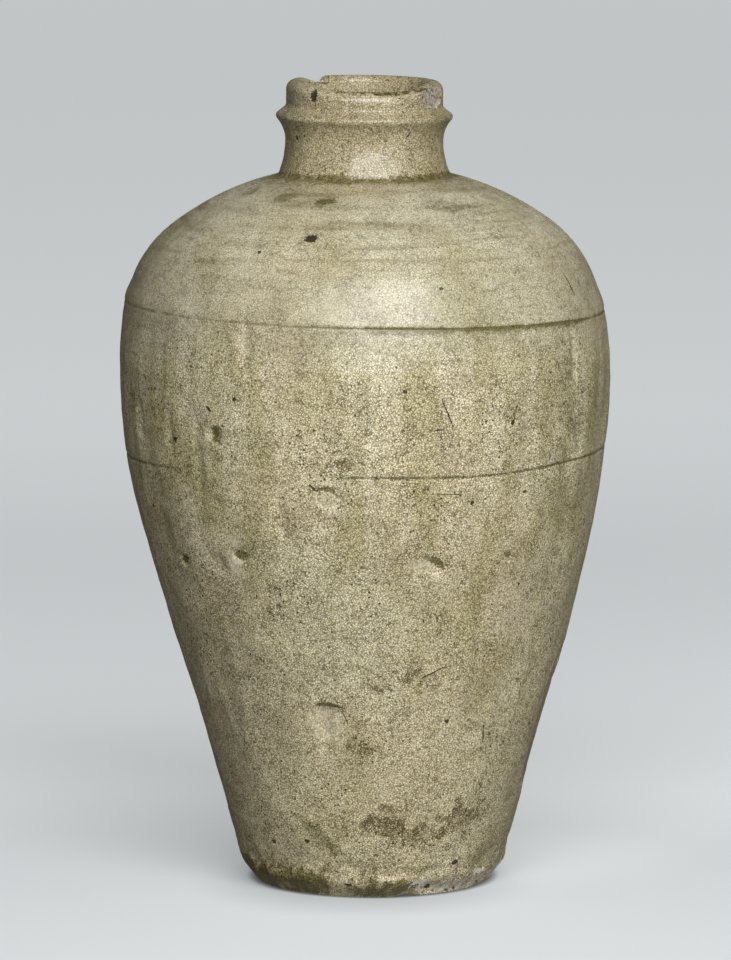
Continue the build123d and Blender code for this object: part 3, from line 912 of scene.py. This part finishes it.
# Iron spots and scratches, and painted shade inside the burst bubble on the lip (-41, 297.1) and inside the
# hole in a foot chip (26.6, 3.6)
dark_flecks = [
    (-16, 248.6, 2.5, 1.2, 6, 0), (36, 182, 1.0, 0.9, 0, 0), (9, 195, 0.8, 0.7, 0, 0),
    (-31, 191, 0.8, 0.7, 0, 0), (-50, 174, 1.2, 0.8, 30, 0), (26, 153, 1.0, 0.6, 50, 0),
    (41, 155.5, 0.8, 0.6, 0, 0), (24, 69.5, 0.9, 0.7, 0, 0), (-44, 20, 0.9, 0.7, -40, 0),
    (-27, 22, 0.9, 0.8, 0, 0), (19, 231.5, 0.8, 0.6, 0, 0), (-30, 243.5, 0.7, 0.6, 0, 0),
    (19, 187, 6.0, 0.3, -66, 0), (17, 180.7, 2.0, 0.3, 5, 0), (18, 88.5, 5.0, 0.3, 25, 0),
    (39, 63, 4.0, 0.3, -80, 0), (62, 229, 5.0, 0.3, -70, 0), (-58, 281, 1.2, 0.6, -60, 0),
    (32, 283, 1.6, 0.4, 55, 0), (-41.0, 297.1, 2.2, 1.5, 86, 0), (-38.2, 186.8, 1.6, 0.6, -50, 0),
    (-10.6, 5.6, 1.6, 0.5, -4, 0), (-12.6, 159.6, 1.8, 0.45, -44, 0), (36.5, 13.0, 1.6, 0.9, 10, 0),
    (26.6, 3.6, 1.5, 1.0, 0, 0),
]
ragged = ramped(fine, 0.2, 0.8, -0.4, 0.4)
patchy = ramped(coarse, 0.25, 0.75, -0.9, 0.9)


def fleck_mask(flecks, edge, unevenness):
    """Where any of the flecks lies."""
    joined = 0.0
    for bearing, height, long, wide, tilt, bow in flecks:
        one = placed(fleck, Place=place, Ragged=unevenness, Bearing=radians(bearing),
                     Height=height * mm, Lean=float(lean_at(height * mm)), Long=long * mm,
                     Wide=wide * mm, Tilt=radians(tilt), Bow=bow, Edge=edge)
        joined = calc("MAXIMUM", joined, one)
    return joined


# Painted light beside the hollows, with less grain under it
painted_hollow_light = fleck_mask(painted_light_by_hollows, 0.8, patchy)
colour = tinted(colour, painted_hollow_light, 0.15, (216, 208, 184))
colour = tinted(colour, fleck_mask(caught, 0.4, ragged), 0.8, (98, 94, 48))
rough = minus(1.0, times(painted_hollow_light, 0.35))

# Grain and crackle: fine grain, short crooked strokes and a net of dark lines, fainter on the shoulder
neck_grain = by_height(258, 268, 0.0, 0.3)
grain = times(rough, plus(neck_grain, by_height(185, 232, 1.0, 0.55)))
shading = mixed(ramped(fine, 0.28, 0.57), (0.56, 0.5, 0.33, 1.0), (1.05, 1.05, 1.03, 1.0))
colour = mixed(grain, colour, shading, "MULTIPLY")
small_net = placed(crazing, Place=place, Cell=0.86 * mm, Bend=0.7, Crack=plus(0.2, times(stain, 0.32)))
large_net = placed(crazing, Place=place, Cell=4.2 * mm, Crack=0.045, Bend=0.9)
cracked = plus(ramped(mottle, 0.0, 1.0, 0.8, 0.94), times(plus(stain, pool), 0.35))
cracked = calc("MINIMUM", minus(cracked, times(pale, 0.25)), 1.0)
crack_zone = plus(times(neck_grain, 0.6), by_height(195, 222, 1.0, 0.75))
cracked = times(cracked, times(rough, crack_zone))
net_strokes = times(small_net, ramped(coarse, 0.35, 0.6, 0.78, 0.95))
strokes = calc("MAXIMUM", times(crooked, broken), net_strokes)
colour = tinted(colour, strokes, cracked, (66, 53, 6))
colour = tinted(colour, large_net, ramped(mottle, 0.2, 0.8, 0.0, 0.4), (70, 62, 38))

# Dirt in the finest pits, pinholes, iron and scratches, and painted shade inside two holes
dirty = calc("MAXIMUM", ramped(dirt, 0.0, 1.0, 0.15, 0.9), stain)
dirty = times(dirty, minus(1.0, times(pale, 0.8)))
dirty = times(dirty, plus(by_height(195, 222, 1.0, 0.55), by_height(256, 266, 0.0, 0.45)))
colour = tinted(colour, dots, dirty, (34, 26, 12))
colour = tinted(colour, pins, 0.9, (34, 26, 18))
colour = tinted(colour, fleck_mask(dark_flecks, 0.25, ragged), 0.92, (44, 34, 24))

# Scars where the glaze is gone: gritty clay, browner low on the body, crumbly and chalky at the foot
bare = ramped(plus(coat["bare"], loose), 0.3, 0.6)
grit = noise_of(place, 0.8 * mm, 5.0)
scarred = mixed(ramped(grit, 0.38, 0.58), srgb(112, 101, 84), srgb(196, 186, 168))
scarred = mixed(by_height(110, 140, 1.0, 0.0), scarred, (0.9, 0.8, 0.8, 1.0), "MULTIPLY")
crumbly = mixed(ramped(grit, 0.4, 0.55), srgb(120, 106, 82), srgb(226, 215, 190))
scarred = mixed(by_height(12, 24, 1.0, 0.0), scarred, crumbly)
scarred = tinted(scarred, ramped(coarse, 0.32, 0.5), by_height(14, 30, 0.95, 0.15), (246, 240, 222))
scarred = tinted(scarred, strokes, 0.6, (58, 48, 38))
grains = placed(specks, Place=place, Spacing=1.7 * mm, Grain=0.4)
scarred = mixed(grains, scarred, srgb(70, 60, 48))
colour = mixed(bare, colour, scarred)
tree.links.new(colour, shader.inputs["Base Color"])

dull = plus(ramped(mottle, 0.0, 1.0, 0.25, 0.33), times(bare, 0.4))
dull = plus(dull, times(pale, 0.15))
tree.links.new(dull, shader.inputs["Roughness"])
relief = minus(fine, times(strokes, 0.6))
relief = minus(relief, times(pins, 1.2))
relief = times(relief, by_height(195, 222, 2.2, 1.0))
bump = node(tree, "ShaderNodeBump", {"Height": relief, "Strength": 0.11, "Distance": 0.2 * mm})
tree.links.new(bump.outputs[0], shader.inputs["Normal"])
shader.inputs["Specular IOR Level"].default_value = 0.45

columns = 560
crown = int(surface[:, 1].argmax())
edges = [np.interp(edge, surface[:crown, 1], along[:crown]) for edge in (*line_heights, root_height)]
edges = [0.0, *edges, along[-1]]
for name, low, high, rows in zip(("lower_glaze", "belly_glaze", "shoulder_glaze", "neck_glaze"),
                                 edges, edges[1:], (158, 120, 130, 158)):
    outline, under = band_outline(low, high, rows)
    band = throw(name, outline, under, False, columns, glaze)
    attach(band, "root")
    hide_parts("outer_glaze")


# Mouth lining: the same glaze, swilled round the inside of the mouth. It meets the outer coat at the edge of
# the lip and ends inside the neck.
lining_section, _ = section_of("mouth_glaze")
lining_outline = divided(lining_section, 0.6 * mm, False)
lining_depth = np.where(lining_outline[:, 0] < lining_section[:, 0].mean(), 0.4 * mm, glaze_thickness)
lining = throw("mouth_lining", lining_outline, lining_depth, False, 360, glaze)
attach(lining, "root")
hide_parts("mouth_glaze")


# Studio: pale grey paper all round the vase, turned up far away. It glows with painted light, dimmer near
# the vase and brighter in front of it, behind it and right of its foot, with a painted shadow round the
# foot.
# One wide soft light stands in front, right of the camera and above it, and a weaker one lights the far
# side.
paper_middle, paper_flat, paper_bend, paper_top = 0.6, 4.6, 2.0, 4.0
paper_profile = [(paper_middle, 0.0), (paper_flat, 0.0)]
for angle in range(6, 91, 6):
    paper_profile.append((paper_flat + paper_bend * sin(radians(angle)),
                          paper_bend - paper_bend * cos(radians(angle))))
paper_profile.append((paper_flat + paper_bend, paper_top))
turns = 72
paper_places = [(r * sin(2 * pi * k / turns), -r * cos(2 * pi * k / turns), z)
                for r, z in paper_profile for k in range(turns)]
paper_faces = [tuple(range(turns))]
for ring in range(len(paper_profile) - 1):
    for k in range(turns):
        here, beside = ring * turns + k, ring * turns + (k + 1) % turns
        paper_faces.append((beside, here, here + turns, beside + turns))
paper_mesh = bpy.data.meshes.new("paper_sweep")
paper_mesh.from_pydata(paper_places, [], paper_faces)
paper_mesh.shade_smooth()
paper = bpy.data.objects.new("paper_sweep", paper_mesh)
bpy.context.scene.collection.objects.link(paper)
paper.visible_diffuse = False
paper.visible_glossy = False
paper.visible_shadow = False
paper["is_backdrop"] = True
paper_finish, tree, shader, place = new_finish("grey_paper")
away = node(tree, "ShaderNodeSeparateXYZ", {0: place}).outputs[1]


def spot_round(point, low, high, start, end):
    """Value on the paper that eases from start to end between two distances from a point."""
    apart = node(tree, "ShaderNodeVectorMath", {0: place, 1: point}, operation="DISTANCE")
    return ramped(apart.outputs["Value"], low, high, start, end)


lit_tone, shadow_tone = srgb(196, 200, 202), srgb(20, 22, 26)
# Painted light of the paper: dimmer near the vase, so that the vase's shadow shows on it
painted_paper_light = mixed(spot_round((0, 0, 0), 0.15, 1.6, 0.0, 1.0), srgb(147, 150, 152), srgb(188, 192, 194))
# Far in front of the vase the paper shows painted light only: its glow is raised and its own colour darkened
under_light = ramped(away, -1.0, -0.4, 1.0, 0.0)
painted_paper_light = mixed(under_light, painted_paper_light, lit_tone)
# Painted light on the paper behind the vase
painted_light_behind = times(ramped(away, 0.02, 0.2, 0.0, 0.45), ramped(away, 0.35, 1.0, 1.0, 0.0))
painted_paper_light = mixed(painted_light_behind, painted_paper_light, lit_tone)
# Painted light right of the foot, lifting the shadow there
painted_paper_light = mixed(spot_round((0.06, 0.035, 0), 0.02, 0.08, 0.25, 0.0), painted_paper_light, srgb(180, 184, 186))
# Painted shadow round the foot and just in front of it, in the glow and in the paper's own colour
painted_contact_shadow = calc("MAXIMUM", spot_round((0, 0, 0), 43 * mm, 49.5 * mm, 0.8, 0.0),
               spot_round((-0.003, -0.02, 0), 0.028, 0.07, 0.24, 0.0))
painted_paper_light = mixed(painted_contact_shadow, painted_paper_light, shadow_tone)
# The paper's own colour, darkened far in front where only painted light shows, and with the painted shadow
# round the foot
paper_tone = mixed(under_light, srgb(186, 189, 191), srgb(30, 30, 30))
tree.links.new(mixed(painted_contact_shadow, paper_tone, shadow_tone), shader.inputs["Base Color"])
tree.links.new(painted_paper_light, shader.inputs["Emission Color"])
shader.inputs["Emission Strength"].default_value = 1.0
shader.inputs["Roughness"].default_value = 1.0
shader.inputs["Specular IOR Level"].default_value = 0.0
paper_mesh.materials.append(paper_finish)


def soft_light(name, place, aim, width, tall, power):
    """Rectangular studio light aimed at a point."""
    light = bpy.data.lights.new(name, "AREA")
    light.shape = "RECTANGLE"
    light.size, light.size_y = width, tall
    light.energy = power
    lamp = bpy.data.objects.new(name, light)
    lamp.location = place
    lamp.rotation_euler = (Vector(aim) - Vector(place)).to_track_quat("-Z", "Y").to_euler()
    lamp.visible_camera = False
    bpy.context.scene.collection.objects.link(lamp)
    return lamp


soft_light("front_light", (0.23, -1.46, 1.03), (0, 0, 0.17), 1.7, 1.2, 45)
far_light = soft_light("far_light", (0.25, 1.7, 0.75), (0, 0, 0.17), 1.2, 1.0, 36)
vase_only = bpy.data.collections.new("vase_only")
for piece in bpy.context.scene.collection.objects:
    if body_of(piece):
        vase_only.objects.link(piece)
far_light.light_linking.receiver_collection = vase_only
far_light.visible_glossy = False
room = bpy.data.worlds.new("room")
room.use_nodes = True
tree = room.node_tree
towards = node(tree, "ShaderNodeNewGeometry").outputs["Incoming"]
from_left, _, from_below = node(tree, "ShaderNodeSeparateXYZ", {0: towards}).outputs
shade = mixed(ramped(from_below, -0.15, 0.15), srgb(60, 59, 53), srgb(100, 98, 89))
shade = mixed(ramped(from_below, 0.4, 0.95), shade, srgb(168, 165, 150))
shade = mixed(1.0, shade, ramped(from_left, -0.4, 0.95, 1.0, 0.33), "MULTIPLY")
tree.links.new(shade, tree.nodes["Background"].inputs[0])
bpy.context.scene.world = room
bpy.context.scene.view_settings.view_transform = "Standard"

camera = bpy.data.objects.new("camera", bpy.data.cameras.new("camera"))
camera.location = (-0.00265, -2.5, 0.481)
camera.rotation_euler = (radians(82.48), 0, 0)
camera.data.lens = 251.5
camera.data.sensor_width = 36
bpy.context.scene.collection.objects.link(camera)
bpy.context.scene.camera = camera

low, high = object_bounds()
